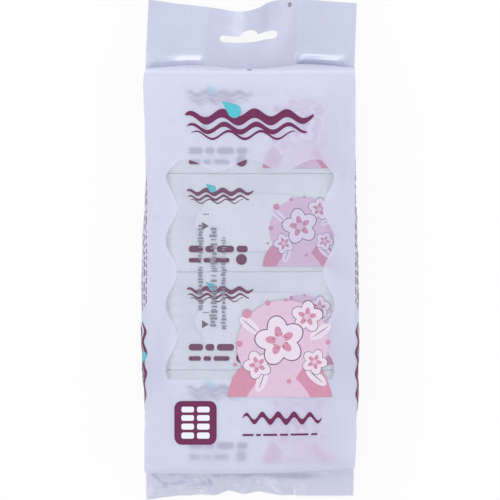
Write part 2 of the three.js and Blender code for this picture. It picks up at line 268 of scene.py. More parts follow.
class Skin:
    """The points and faces of one piece, gathered in millimetres and then made a mesh."""

    def __init__(self):
        self.points = []
        self.faces = []
        self.slots = []
        self.count = 0

    def add(self, points, faces, slot=0):
        slots = [slot] * len(faces) if np.isscalar(slot) else list(slot)
        self.faces += [[int(i) + self.count for i in face] for face in faces]
        self.slots += [int(s) for s in slots]
        self.points.append(np.asarray(points, float).reshape(-1, 3))
        self.count += len(self.points[-1])

    def grid(self, points, slot=0, around=False):
        """Rows of points joined by quads. With around, each row closes on itself."""
        rows, columns = points.shape[:2]
        faces = []
        for i in range(rows - 1):
            for j in range(columns if around else columns - 1):
                k = (j + 1) % columns
                faces.append([i * columns + j, i * columns + k, (i + 1) * columns + k, (i + 1) * columns + j])
        self.add(points, faces, slot)

    def plate(self, shapes, step, place):
        """A thin solid of flat shapes laid on a surface.

        place(x, y, side) gives its points, with side 0 underneath and 1 on top.
        """
        flat, triangles, slots = sheet(shapes, step)
        under, over = (place(flat[:, 0], flat[:, 1], side) for side in (0, 1))
        count = len(flat)
        rims = {}
        for slot, (a, b, c) in zip(slots, triangles):
            for edge in ((a, b), (b, c), (c, a)):
                if rims.pop(edge[::-1], None) is None:
                    rims[edge] = slot
        faces = [*(triangles + count), *triangles[:, ::-1], *([a, b, b + count, a + count] for a, b in rims)]
        self.add(np.concatenate([under, over]), faces, [*slots, *slots, *rims.values()])

    def make(self, name, materials, sharp=40, weld=0.0005):
        mesh = bpy.data.meshes.new(name)
        mesh.from_pydata((np.concatenate(self.points) * MM).tolist(), [], self.faces)
        mesh.polygons.foreach_set("material_index", self.slots)
        for material in materials:
            mesh.materials.append(material)
        if weld:
            weld_points(mesh, weld * MM)
        mesh.polygons.foreach_set("use_smooth", [True] * len(mesh.polygons))
        mesh.set_sharp_from_angle(angle=math.radians(sharp))
        piece = bpy.data.objects.new(name, mesh)
        bpy.context.scene.collection.objects.link(piece)
        return piece


def weld_points(mesh, distance):
    made = bmesh.new()
    made.from_mesh(mesh)
    bmesh.ops.remove_doubles(made, verts=made.verts, dist=distance)
    made.to_mesh(mesh)
    made.free()


# Materials

def linear(code):
    """A colour written as sRGB hex, turned linear."""
    parts = [int(code[i:i + 2], 16) / 255 for i in (1, 3, 5)]
    return tuple(c / 12.92 if c <= 0.04045 else ((c + 0.055) / 1.055) ** 2.4 for c in parts) + (1.0,)


def add(tree, kind, inputs=None, **settings):
    """Adds a node with its settings, and fills its inputs with values or with other nodes' outputs."""
    made = tree.nodes.new(kind)
    for name, value in settings.items():
        setattr(made, name, value)
    for key, value in (inputs or {}).items():
        if isinstance(value, bpy.types.NodeSocket):
            tree.links.new(value, made.inputs[key])
        else:
            made.inputs[key].default_value = value
    return made


def material(name):
    made = bpy.data.materials.new(name)
    made.use_nodes = True
    made.node_tree.nodes.clear()
    return made, made.node_tree


def finish_material(tree, shader):
    add(tree, "ShaderNodeOutputMaterial", {"Surface": shader})


def cloudy(tree, pale, deep, size, detail=3.0):
    """A colour that drifts between two shades in patches of that size in millimetres."""
    place = add(tree, "ShaderNodeTexCoord").outputs["Object"]
    noise = add(tree, "ShaderNodeTexNoise", {"Vector": place, "Scale": 1 / (size * MM), "Detail": detail})
    fade = add(tree, "ShaderNodeMapRange", {"Value": noise.outputs["Fac"], "From Min": 0.3, "From Max": 0.7})
    mix = add(tree, "ShaderNodeMix", {"Factor": fade.outputs["Result"]}, data_type="RGBA")
    mix.inputs["A"].default_value = linear(pale)
    mix.inputs["B"].default_value = linear(deep)
    return mix.outputs["Result"], place


def rippled(tree, place, sizes, depths):
    """A bumped normal from noises of these sizes, each as deep as told, all in millimetres."""
    normal = None
    for size, depth in zip(sizes, depths):
        noise = add(tree, "ShaderNodeTexNoise", {"Vector": place, "Scale": 1 / (size * MM), "Detail": 2.0})
        inputs = {"Height": noise.outputs["Fac"], "Strength": 1.0, "Distance": depth * MM}
        if normal is not None:
            inputs["Normal"] = normal
        normal = add(tree, "ShaderNodeBump", inputs).outputs["Normal"]
    return normal


def rough_patches(tree, place, size, low, high):
    noise = add(tree, "ShaderNodeTexNoise", {"Vector": place, "Scale": 1 / (size * MM), "Detail": 2.0})
    inputs = {"Value": noise.outputs["Fac"], "From Min": 0.3, "From Max": 0.7, "To Min": low, "To Max": high}
    return add(tree, "ShaderNodeMapRange", inputs).outputs["Result"]


def film(name, face, behind, through, size, roughness, ripple, coat=0.0):
    """Thin film: its own colour in front, and part of the light behind it let through and spread."""
    made, tree = material(name)
    colour, place = cloudy(tree, *face, size)
    normal = rippled(tree, place, *ripple)
    rough = rough_patches(tree, place, 9.0, *roughness)
    front = {"Base Color": colour, "Roughness": rough, "IOR": 1.5, "Normal": normal}
    front |= {"Coat Weight": coat, "Coat Roughness": 0.26, "Coat IOR": 1.5, "Coat Normal": normal}
    front = add(tree, "ShaderNodeBsdfPrincipled", front)
    spread = add(tree, "ShaderNodeBsdfTranslucent", {"Color": linear(behind), "Normal": normal})
    mix = add(tree, "ShaderNodeMixShader", {0: through, 1: front.outputs[0], 2: spread.outputs[0]})
    finish_material(tree, mix.outputs[0])
    return made


def milky_polyethylene():
    # Blown LDPE flooded with a thin coat of white ink: cool and pale, softly glossy, and it blurs what is
    # under it
    face, behind = ("#d7dffb", "#d2dafa"), "#fffbf6"
    return film("milky_polyethylene", face, behind, 0.45, 26.0, (0.26, 0.36), ((17.0, 4.0), (0.25, 0.03)))


def sealed_polyethylene(name, face, through=0.42):
    # The same film pressed flat in layers: denser the more layers there are, with a gloss coat that gives
    # the bright strips where it turns up to the light. On the crumpled tail it lets less through, and its
    # colour is painted paler to stand in for the light that falls there.
    return film(name, face, "#f4f5fb", through, 18.0, (0.22, 0.3), ((14.0, 4.0), (0.18, 0.02)), 1.0)


def clear_polyethylene():
    # LDPE left unprinted: see-through with a faint haze, so the packs show through it under soft reflections
    made, tree = material("clear_polyethylene")
    colour, place = cloudy(tree, "#e3e8f6", "#dde2f2", 22.0)
    normal = rippled(tree, place, (15.0, 5.0), (0.3, 0.05))
    rough = rough_patches(tree, place, 8.0, 0.12, 0.2)
    clear = add(tree, "ShaderNodeBsdfTransparent", {"Color": linear("#f4f6fb")})
    haze = {"Base Color": colour, "Roughness": rough, "IOR": 1.5, "Normal": normal}
    haze = add(tree, "ShaderNodeBsdfPrincipled", haze)
    mix = add(tree, "ShaderNodeMixShader", {0: 0.08, 1: clear.outputs[0], 2: haze.outputs[0]})
    finish_material(tree, mix.outputs[0])
    return made


def flow_wrap():
    # Polypropylene laminate with a white ground, over wet wipes: cool white, with a low sheen over fine
    # puckers. Light spreads a few millimetres through the wipes, so the grooves between packs stay pale.
    made, tree = material("flow_wrap")
    colour, place = cloudy(tree, "#dedfe4", "#d7d8de", 15.0)
    normal = rippled(tree, place, (9.0, 2.5), (0.12, 0.02))
    rough = rough_patches(tree, place, 7.0, 0.34, 0.44)
    face = {"Base Color": colour, "Roughness": rough, "IOR": 1.49, "Normal": normal}
    face |= {"Subsurface Weight": 0.6, "Subsurface Radius": (1, 1, 1), "Subsurface Scale": 3 * MM}
    finish_material(tree, add(tree, "ShaderNodeBsdfPrincipled", face).outputs[0])
    return made


def label_stock():
    # White polypropylene sticker stock: smoother and a little glossier than the wrap it is glued to
    made, tree = material("label_stock")
    colour, place = cloudy(tree, "#dfdfe4", "#dadadf", 20.0)
    normal = rippled(tree, place, (12.0,), (0.08,))
    rough = rough_patches(tree, place, 9.0, 0.22, 0.3)
    face = {"Base Color": colour, "Roughness": rough, "IOR": 1.49, "Normal": normal}
    finish_material(tree, add(tree, "ShaderNodeBsdfPrincipled", face).outputs[0])
    return made


def ink(name, pale, deep, roughness=0.4):
    # Flexographic ink: flat colour that varies a little where the plate laid it on unevenly
    made, tree = material(name)
    colour, place = cloudy(tree, pale, deep, 2.2, 4.0)
    rough = rough_patches(tree, place, 3.0, roughness - 0.05, roughness + 0.05)
    face = {"Base Color": colour, "Roughness": rough, "IOR": 1.42}
    finish_material(tree, add(tree, "ShaderNodeBsdfPrincipled", face).outputs[0])
    return made


INKS = {
    "magenta": ink("magenta_ink", "#6a1c51", "#631749"),
    "teal": ink("teal_ink", "#56bfcf", "#4bb5c6"),
    "rose": ink("rose_ink", "#cd8fa8", "#c487a0"),
    "blush": ink("blush_ink", "#d8bdd4", "#d2b6ce"),
    "petal": ink("petal_ink", "#e2d6e6", "#dccfe1"),
    "line": ink("line_ink", "#6b5468", "#5f4a5e"),
    "white": ink("white_ink", "#e9ebf5", "#e4e6f1"),
    "grey": ink("jet_ink", "#8b8c9c", "#7f8091"),
}
MILKY = milky_polyethylene()
SEALED = sealed_polyethylene("four_layer_polyethylene", ("#cdd3e8", "#c8cee3"))
# Painted light: the tail's film is the header's film, with its colour painted paler for the light on the
# tail.
TAIL_FILM_PAINTED_PALER = sealed_polyethylene("tail_polyethylene_painted_paler", ("#d9dbec", "#d2d5e6"), 0.28)
SEALED_THIN = sealed_polyethylene("two_layer_polyethylene", ("#c9cee4", "#c4c9df"))
CLEAR = clear_polyethylene()
WRAP = flow_wrap()
LABEL = label_stock()


# The bag's form. A station is a place along it, told by how far down its front panel it lies from the header.

def end_profile(end, panel, swing, t):
    side = math.copysign(1, panel - end["level"])
    at = lambda out, z: (end["edge"] + end["towards"] * out, z)
    points = (
        at(end["room"], end["level"] + side * ROOT_HALF),
        at(swing["reach"][0] * end["room"], panel - side * swing["to_panel"]),
        at(swing["reach"][1] * end["room"], panel),
        at(-END_CURVE, panel),
    )
    return bezier(points, t)


def bag_stations():
    """The profiles of both panels from header to tail, and full: 0 where they meet and 1 over the packs."""
    share = np.linspace(0, 1, STATION_STEPS)
    straight = np.linspace(STACK_TOP - END_CURVE, STACK_BOTTOM + END_CURVE, STATION_STEPS)[1:-1]

    def profile(z, head_swing, tail_swing):
        level = np.stack([straight, np.full_like(straight, z)], 1)
        head, tail = end_profile(HEAD, z, head_swing, share), end_profile(TAIL, z, tail_swing, share)
        return np.concatenate([head, level, tail[::-1]])

    front = profile(DEPTH, HEAD_FRONT, TAIL_FRONT)
    back = profile(0.0, HEAD_BACK, TAIL_BACK)
    full = np.concatenate([share, np.ones_like(straight), share[::-1]])
    arc = np.concatenate([[0], np.cumsum(np.linalg.norm(np.diff(front, axis=0), axis=1))])
    return {"s": arc, "front": front, "back": back, "full": full}


STATIONS = bag_stations()
BAG_RUN = STATIONS["s"][-1]


def along(s, name):
    table = STATIONS[name]
    if table.ndim == 1:
        return np.interp(s, STATIONS["s"], table)
    return [np.interp(s, STATIONS["s"], table[:, i]) for i in (0, 1)]


# The lines between the rows of packs, and how deep and how wide the front film sags over each
ROW_EDGES = [STACK_TOP - (PACK_WIDTH + PACK_GAP) * row for row in (1, 2, 3)]
SAGS = ((0.4, 3.0), (0.45, 3.4), (0.4, 3.8))

# How far the front film lies under the bag's full depth, and how much more it drops at its creases
FRONT_SLACK = 0.45
EDGE_DROP = 2.6

# How far the head seam runs from its straight line, across the bag
SEAM_LINE = [
    (-CREASE, -2.3), (-52, -0.9), (-38, 0.0), (-24, -0.9), (-10, -2.2), (4, -2.4), (18, -1.3), (34, 0.7),
    (48, 0.2), (CREASE, -1.9),
]
SEAM_FADE = 15.0

# How far the lower edge of the front panel runs from its straight line, across the bag
LOWER_EDGE = [(-CREASE, -1.2), (-20, -1.4), (10, -1.1), (32, -0.3), (52, 0.9), (CREASE, 2.4)]

# Creases of the front panel: start, end, height and width
FRONT_FOLDS = (
    ((-62, 108), (-56, 40), 0.35, 3.0),
    ((-66, 60), (-60, -20), -0.3, 2.6),
    ((63, 96), (57, 30), 0.3, 2.8),
    ((60, 20), (65, -60), -0.25, 3.2),
    ((66, 84), (60, -10), 0.3, 2.0),
    ((-64, -40), (-58, -112), 0.3, 2.6),
    ((62, -70), (66, -118), -0.35, 2.2),
    ((20, -118), (62, -126), -0.3, 2.6),
    ((-50, 113), (-8, 106), 0.25, 2.6),
    ((14, 108), (58, 114), -0.25, 2.8),
)


def front_relief(x, y):
    """How far the front film stands out of its level, from the packs under it and from its own creases."""
    over_packs = 1 - smooth(np.abs(x), 46, 64)
    relief = 0.22 * ripples(x, y, 11, 48) + 0.07 * ripples(x, y, 12, 17)
    for edge, (depth, width) in zip(ROW_EDGES, SAGS):
        relief = relief - depth * over_packs * np.exp(-((y - edge) / width) ** 2)
    for start, end, height, width in FRONT_FOLDS:
        relief = relief + fold_line(x, y, start, end, height, width)
    return relief - FRONT_SLACK


def edge_drop(x):
    return EDGE_DROP * smooth(np.abs(x), 50, CREASE + 6)


def seam_shift(x, far):
    """The head seam isn't quite straight. Its shift fades out as far from it as SEAM_FADE."""
    line = spline(SEAM_LINE)
    return np.interp(x, line[:, 0], line[:, 1]) * (1 - smooth(far, 0, SEAM_FADE))


def lower_edge_shift(x, s):
    line = spline(LOWER_EDGE)
    return np.interp(x, line[:, 0], line[:, 1]) * smooth(s, BAG_RUN - 60, BAG_RUN - 34)


def crease_shift(x, y):
    """The front creases sit further in where the sides of the bag bulge out beside them."""
    amount = np.where(np.asarray(x) < 0, 1.9, 0.4) * smooth(y, -128, -80) * (1 - smooth(y, 30, 84))
    return -np.sign(x) * amount * smooth(np.abs(x), 56, CREASE)


def front_place(x, s):
    y, z = along(s, "front")
    full = smooth(along(s, "full"), 0.05, 0.9)
    x = x + crease_shift(x, y)
    y = y + lower_edge_shift(x, s) * smooth(along(s, "full"), 0, 0.22) + seam_shift(x, s)
    z = z + full * (front_relief(x, y) - edge_drop(x))
    return np.stack([x, y, z], -1)


def back_place(x, s):
    y, z = along(s, "back")
    full = smooth(along(s, "full"), 0.1, 1.0)
    y = y + seam_shift(x, s)
    lift = 2.2 * smooth(np.abs(x), 54, CREASE + 5) + 0.05 + 0.15 * (1.5 + ripples(x, y, 21, 40))
    for edge in ROW_EDGES:
        lift = lift + 0.5 * np.exp(-((y - edge) / 4.5) ** 2)
    return np.stack([x, y, z + full * lift], -1)


def gusset_place(side, down, s):
    """The side of the bag: down is 0 at the front crease, half at the valley and 1 at the back crease."""
    edge = np.full_like(s, side * CREASE)
    front, back = front_place(edge, s), back_place(edge, s)
    full = along(s, "full")
    opening = 1 - (1 - full) ** 2
    fold = CREASE - (GUSSET_FOLD + (VALLEY_DEPTH - GUSSET_FOLD) * opening)
    # A lobe between the crease and the fold reaches as far out as the side does there
    line = np.array(SIDE_LINE[side])
    reach = np.interp(front[:, 1], line[:, 0], line[:, 1]) - CREASE
    reach = np.clip(reach, 0.05, None)
    bulge = CREASE + reach + np.sqrt(reach**2 + reach * (CREASE - fold))
    bulge = (CREASE + fold) / 2 * (1 - opening) + bulge * opening
    q = 2 * np.minimum(down, 1 - down)
    out = (1 - q) ** 2 * CREASE + 2 * q * (1 - q) * bulge + q**2 * fold
    point = front + (back - front) * down[:, None]
    lobe = 4 * q * (1 - q)
    out = out - (CREASE - np.abs(front[:, 0])) * np.clip(1 - 5 * down, 0, 1)
    y = point[:, 1]
    crumple = 0.4 * ripples(y, 30 * down, 31 + side, 26) + 0.2 * ripples(y, 40 * down, 33 + side, 10)
    crumple = crumple - 0.9 * np.abs(ripples(y, 34 * down, 35 + side, 32)) * smooth(down, 0.12, 0.4)
    point[:, 0] = side * (out + full * lobe * crumple)
    return point


# Seals: flat strips that lean by an angle which changes across the bag. The header also swings a little to
# the right: so much for each millimetre up.
HEADER_SWING = 0.045


def lean_angle(leans, x):
    line = spline(leans)
    return np.radians(np.interp(np.asarray(x) / CREASE, line[:, 0], line[:, 1]))


def seal_place(end, leans, x, s, h):
    angle = lean_angle(leans, x)
    out = s * np.cos(angle) + h * np.sin(angle)
    y = end["root"] + end["towards"] * out
    if end is HEAD:
        y = y + seam_shift(x, s)
        x = x + HEADER_SWING * s
    return np.stack([x, y, end["level"] - s * np.sin(angle) + h * np.cos(angle)], -1)


# Outlines

def arc_points(cx, cy, radius, start, end, steps):
    angle = np.radians(np.linspace(start, end, steps))
    return np.stack([cx + radius * np.cos(angle), cy + radius * np.sin(angle)], 1)


def circle(cx, cy, radius, steps=28):
    return arc_points(cx, cy, radius, 0, 360 * (1 - 1 / steps), steps)


def ellipse(cx, cy, long, short, turn=0.0, steps=28):
    flat = circle(0, 0, 1, steps) * (long / 2, short / 2)
    return turned(flat, turn) + (cx, cy)


def turned(points, degrees):
    a = math.radians(degrees)
    return points @ np.array([[math.cos(a), math.sin(a)], [-math.sin(a), math.cos(a)]])


def rounded_box(cx, cy, width, height, radius, steps=6):
    w, h = width / 2 - radius, height / 2 - radius
    corners = ((w, h, 0), (-w, h, 90), (-w, -h, 180), (w, -h, 270))
    return np.concatenate([arc_points(cx + x, cy + y, radius, a, a + 90, steps) for x, y, a in corners])


def hang_slot():
    r = SLOT_HEIGHT / 2
    end = SLOT_WIDTH / 2 - r
    rise = SLOT_PEAK - SLOT_HEIGHT
    peak = ((PEAK_WIDTH / 2) ** 2 + rise**2) / (2 * rise)
    start = math.degrees(math.atan2(SLOT_HEIGHT - SLOT_PEAK + peak, PEAK_WIDTH / 2))
    line = np.concatenate([
        arc_points(end, r, r, -90, 90, 10),
        arc_points(0, SLOT_PEAK - peak, peak, start, 180 - start, 12),
        arc_points(-end, r, r, 90, 270, 10),
    ])
    return line + (SLOT_CENTRE, SLOT_BASE)


def window_outline():
    wave = lambda place: WAVE_HEIGHT * np.cos(2 * math.pi * place / WAVE_LENGTH)
    first = WINDOW_TOP - WAVE_START
    down = np.arange(first, WINDOW_BOTTOM, -2.4)
    out = WINDOW_HALF + wave(down - first)
    across = np.arange(WINDOW_HALF - 4.5, -WINDOW_HALF + 4, -2.4)
    right = np.stack([out, down], 1)
    top = np.stack([across, WINDOW_TOP + wave(across)], 1)
    bottom = np.array([(out[-1] - 1, WINDOW_BOTTOM), (-out[-1] + 1, WINDOW_BOTTOM)])
    left = right[::-1] * (-1, 1)
    return np.concatenate([right[::-1], top, left[::-1], bottom[::-1]])


# The bag

def panel(skin, place, shapes, flip):
    """A panel of the bag between its creases, with the shapes in it."""
    rows = max(2, round(BAG_RUN / FILM_STEP))
    s = np.linspace(0, BAG_RUN, rows + 1)
    right = np.stack([np.full_like(s, CREASE), -s], 1)
    outline = np.concatenate([right[::-1], right * (-1, 1)])
    flat, triangles, slots = sheet([(0, outline), *shapes], FILM_STEP)
    skin.add(place(flat[:, 0], -flat[:, 1]), triangles[:, ::-1] if flip else triangles, slots)
    return s


def station_of(y, name):
    """The station at which a panel reaches this y, short of the turn into the tail."""
    table = STATIONS[name]
    return np.interp(-np.asarray(y), -table[:-STATION_STEPS, 0], STATIONS["s"][:-STATION_STEPS])


def outer_bag():
    skin = Skin()
    window = window_outline()
    window = np.stack([window[:, 0], -station_of(window[:, 1], "front")], 1)
    vent = circle(0, VENT_Y, VENT_RADIUS, 20)
    vent = np.stack([vent[:, 0], -station_of(vent[:, 1], "back")], 1)
    s = panel(skin, front_place, [(1, window)], False)
    panel(skin, back_place, [(None, vent)], True)
    down = np.linspace(0, 1, 29)
    for side in (1, -1):
        rows = np.stack([gusset_place(side, np.full_like(s, d), s) for d in down])
        skin.grid(rows[::-side])
    bag = skin.make("film_bag", [MILKY, CLEAR])
    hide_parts("outer_bag")
    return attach(bag, "root")


def seal_strip(name, films, end, leans, length, half, relief, step, holes=()):
    """A strip of sealed film: four layers where the gussets are folded into it, and two between them."""
    skin = Skin()

    def band(reach):
        return np.array([(-reach, 0.0), (reach, 0.0), (reach, length), (-reach, length)])

    def place(x, s, side):
        inner = 1 - smooth(np.abs(x), GUSSET_REACH - 0.4, GUSSET_REACH + 0.4)
        thick = half * (1 - 0.5 * inner)
        return seal_place(end, leans, x, s, (2 * side - 1) * thick + relief(x, s))

    skin.plate([(0, band(CREASE)), (1, band(GUSSET_REACH)), *((None, hole) for hole in holes)], step, place)
    strip = skin.make(name, films)
    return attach(strip, "root")


# The roll at the foot of the header: its slope in degrees, where it starts, and how long it holds and fades
ROLL_LEAN = 37.5
ROLL_START = 1.9
ROLL_LENGTH = 3.0
ROLL_FADE = 6.5


def header_relief(x, s):
    """Slack waves, and over the gussets a roll where four layers spring out of the seam and slope away."""
    wave = 0.25 * ripples(x, s, 41, 60) + 0.08 * ripples(x, s, 42, 16)
    slope = np.tan(np.radians(ROLL_LEAN) - lean_angle(HEADER_LEAN, x))
    over_gusset = smooth(np.abs(x), GUSSET_REACH, GUSSET_REACH + 3)
    over_gusset = over_gusset * (1 - smooth(np.abs(x), CREASE - 6, CREASE))
    start = ROLL_START - 0.8 * seam_shift(x, 0)
    roll = np.clip(ROLL_LENGTH - s + start, 0, ROLL_LENGTH)
    fade = np.clip(ROLL_FADE - np.maximum(s - start - ROLL_LENGTH, 0), 0, None) ** 2 / (2 * ROLL_FADE)
    rise = smooth(s, 0.1, start) * (roll + fade)
    return wave * smooth(s, 0, 8) + over_gusset * slope * rise * (1 + 0.1 * ripples(x, s, 43, 30))


# The cleft under the overhang of the front panel: how deep it is, how far along the tail, and how wide
CLEFT_DEPTH = 3.0
CLEFT_PLACE = 6.2
CLEFT_WIDTH = 2.1

# Creases of the tail: start, end, height and width
TAIL_FOLDS = (
    ((-70, 3), (-50, 20), 1.7, 1.4),
    ((-66, 14), (-38, 12), 1.5, 1.2),
    ((-58, 4), (-36, 8), -1.1, 1.3),
    ((-50, 17), (-26, 15), 1.5, 1.1),
    ((-40, 6), (-24, 18), -1.2, 1.1),
    ((-48, 14.5), (-29, 14), 1.5, 1.0),
    ((-30, 9), (-25, 16), -1.7, 0.9),
    ((-31, 3), (-27, 20), 1.2, 1.1),
    ((-20, 2), (-9, 20), 1.2, 1.8),
    ((-12, 12), (14, 16), 1.1, 1.5),
    ((0, 1), (6, 19), -1.1, 1.5),
    ((14, 3), (22, 20), 1.0, 1.9),
    ((24, 8), (40, 12), 0.9, 1.8),
    ((46, 2), (54, 20), -0.8, 2.4),
)


def tail_relief(x, s):
    """The tail is crumpled, least towards its right end."""
    much = 1.05 - 0.8 * smooth(x, -5, 45)
    relief = 0.55 * ripples(x, s, 51, 20) - 0.9 * np.abs(ripples(x, s, 53, 24))
    relief = relief - 0.4 * np.abs(ripples(x, s, 54, 10))
    for start, end, height, width in TAIL_FOLDS:
        relief = relief + fold_line(x, s, start, end, height, width)
    cleft = CLEFT_DEPTH * np.exp(-((s - CLEFT_PLACE) / CLEFT_WIDTH) ** 2)
    cleft = cleft * smooth(x, -40, -14) * (1 - smooth(x, 30, 60))
    return 0.8 * smooth(s, 0, 8) + much * relief * smooth(s, 0, 6) - cleft


# Pocket packs. A pack's seed is its row, and 10 more in the back layer.

def pack_sections(x):
    """Half the height and half the width of a pack along its length."""
    share = np.clip((PILLOW_END - np.abs(x)) / SHOULDER, 0, 1)
    full = (1 - (1 - share) ** 2) ** 0.62
    half = (PACK_THICKNESS - SEAM_THICKNESS) / 2
    corner = np.clip((PILLOW_END - np.abs(x)) / CORNER, 0, 1)
    wide = PACK_WIDTH / 2 + 0.14 - FIN_INSET * (1 - (1 - (1 - corner) ** 2) ** 0.5)
    return 0.4 + (half - 0.4) * full, wide


PACK_MIDDLE = SEAM_THICKNESS / 2
# How square the long edges of a pack are, towards the header and towards the tail. The packs press each other
# square, and the outer two keep a soft edge where the bag curves round them.
SQUARENESS = {1: (7.0, 75.0), 2: (75.0, 75.0), 3: (75.0, 75.0), 4: (75.0, 5.0)}


def pack_relief(x, y, seed):
    """Puckers that run in from the crimped ends, and a slack unevenness over the wipes."""
    from_end = PILLOW_END - np.abs(x)
    side = np.where(x > 0, 1, 0)
    pucker = np.sin(2 * math.pi * y / 6.3 + 2.1 * np.sin(y / 9 + seed + side) + seed + 3 * side)
    fade = smooth(from_end, 0, 4) * np.exp(-np.clip(from_end, 0, None) / 9)
    slack = 0.16 * (ripples(x, y, 60 + seed, 30) - 1) + 0.05 * ripples(x, y, 80 + seed, 11)
    return 0.55 * fade * pucker + slack


def squarish(across, power):
    """How high a rounded box stands at a place across it from -1 to 1. It is squarer at a higher power."""
    return (1 - np.abs(across) ** power) ** (1 / power)


def pack_top(x, y, seed):
    half, wide = pack_sections(x)
    power = np.where(y > 0, *SQUARENESS[seed % 10])
    return PACK_MIDDLE + half * squarish(np.clip(y / wide, -1, 1), power) + pack_relief(x, y, seed)


def pack_ring(power_up, power_down):
    """Points round a pack's section, each way from -1 to 1, close together where its edges turn."""
    near = np.array([0.98, 0.99, 0.995, 0.998, 0.9995])
    flat = np.linspace(-0.965, 0.965, 42)
    across = np.concatenate([-near[::-1], flat, near])
    top = np.stack([across, squarish(across, np.where(across > 0, power_up, power_down))], 1)[::-1]
    side = np.linspace(-0.75, 0.75, 7)
    left = np.stack([-squarish(side, power_down), side], 1)[::-1]
    right = np.stack([squarish(side, power_up), side], 1)
    return np.concatenate([top, left, top[::-1] * (1, -1), right])


def pocket_pack(name, node, seed, centre):
    skin = Skin()
    rows = np.linspace(-PILLOW_END, PILLOW_END, 90)
    ring_y, ring_z = pack_ring(*SQUARENESS[seed % 10]).T
    x = np.repeat(rows[:, None], len(ring_y), 1)
    half, wide = pack_sections(x)
    y = wide * ring_y
    up = np.clip(ring_z * 3, -1, 1)
    z = PACK_MIDDLE + half * ring_z + up * pack_relief(x, y, seed)
    skin.grid(np.stack([x, y, z], -1)[:, ::-1], 0, around=True)
    for side in (1, -1):
        skin.plate([(0, fin_outline(side))], FIN_STEP, lambda u, v, k: fin_place(u, v, k, seed))
    end, edge = PILLOW_END - 1, SEAM_WIDTH / 2
    seam = np.array([(-end, -edge), (end, -edge), (end, edge), (-end, edge)])
    skin.plate([(0, seam)], 3.0, seam_place)
    pack = skin.make(name, [WRAP])
    pack.location = Vector(centre) * MM
    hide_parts(node)
    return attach(pack, "root")


def fin_outline(side):
    """A crimped end seal with a zigzag edge, as its cutter leaves it."""
    wide = PACK_WIDTH / 2 - FIN_INSET
    teeth = np.arange(-wide, wide + 0.1, TOOTH_PITCH)
    edge = PACK_LENGTH / 2 - TOOTH_DEPTH * (np.arange(len(teeth)) % 2)
    outer = np.stack([side * edge, teeth * side], 1)
    inner = np.array([(side * (PILLOW_END - 1.5), wide * side), (side * (PILLOW_END - 1.5), -wide * side)])
    return np.concatenate([outer, inner])


def fin_place(x, y, side, seed):
    from_pillow = np.abs(x) - PILLOW_END
    ribs = RIB_HEIGHT * np.sin(2 * math.pi * from_pillow / RIB_PITCH) * smooth(from_pillow, 0.4, 1.2)
    sway = 0.5 * np.sin(y / 11 + seed) * smooth(from_pillow, 0, FIN_LENGTH)
    z = PACK_MIDDLE + ribs + sway + (side - 0.5) * SEAM_THICKNESS
    return np.stack([x, y, z], -1)


def seam_place(x, y, side):
    """The seam lies folded flat under the pack, its upper side just inside the wrap."""
    half, _ = pack_sections(x)
    z = PACK_MIDDLE - half - (1 - side) * 0.3 + 0.1
    return np.stack([x, y, z], -1)


# Reseal labels

LABEL_LOW, LABEL_HIGH = box_mm("reseal_label_front_1")
LABEL_THICKNESS = 0.12
LABEL_CORNER = 7.0
GLUE = 0.03
TAB_LENGTH = 6.0
TAB_WIDTH = 16.0


def label_outline():
    """A label with rounded corners and a pull tab in the middle of its left edge."""
    right = LABEL_HIGH[0]
    left = LABEL_LOW[0] + TAB_LENGTH
    half = (LABEL_HIGH[1] - LABEL_LOW[1]) / 2
    r = LABEL_CORNER
    tab = circle(0, 0, 1, 24)[7:18] * (TAB_LENGTH, TAB_WIDTH / 2) + (left, 0)
    return np.concatenate([
        arc_points(right - r, half - r, r, 0, 90, 8), arc_points(left + r, half - r, r, 90, 180, 8), tab,
        arc_points(left + r, -half + r, r, 180, 270, 8), arc_points(right - r, -half + r, r, 270, 360, 8),
    ])


def reseal_label(name, node, seed, centre):
    skin = Skin()

    def place(x, y, side):
        return np.stack([x, y, pack_top(x, y, seed) + GLUE + side * LABEL_THICKNESS], -1)

    skin.plate([(0, label_outline())], LABEL_STEP, place)
    label = skin.make(name, [LABEL])
    label.location = Vector(centre) * MM
    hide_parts(node)
    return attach(label, "root")


# Print: one thin solid of ink on each surface, cut into shapes. A later shape takes the place of what is
# under it.

class Print:
    def __init__(self):
        self.shapes = []
        self.inks = []

    def lay(self, name, outline):
        if name not in self.inks:
            self.inks.append(name)
        self.shapes.append((self.inks.index(name), np.asarray(outline, float)))

    def make(self, name, place, step=PRINT_STEP, centre=(0, 0, 0)):
        """place(x, y, lift) gives the points that far above the surface that is printed on."""
        skin = Skin()
        skin.plate(self.shapes, step, lambda x, y, side: place(x, y, INK_LIFT + side * INK))
        piece = skin.make(name, [INKS[i] for i in self.inks], weld=0)
        piece.location = Vector(centre) * MM
        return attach(piece, "root")


def ribbon(left, right, y, height, length, thick, phase=0.0):
    """A wavy ribbon with round ends that tapers towards them."""
    x = np.arange(left, right + 0.01, min(1.0, length / 16))
    middle = y + height * np.sin(2 * math.pi * (x - left) / length + phase)
    taper = np.sin(math.pi * np.clip((x - left) / (right - left), 0.0, 1)) ** 0.35
    half = np.maximum(thick / 2 * taper, 0.12)
    return np.concatenate([np.stack([x, middle - half], 1), np.stack([x, middle + half], 1)[::-1]])


def drop(cx, cy, size, turn):
    """A water drop with its point up, before it is turned."""
    point = np.array([(0.0, 1.0)])
    round_part = arc_points(0, -0.32, 0.55, 150, 390, 20)
    return turned(np.concatenate([point, round_part]) * size / 1.87, turn) + (cx, cy)


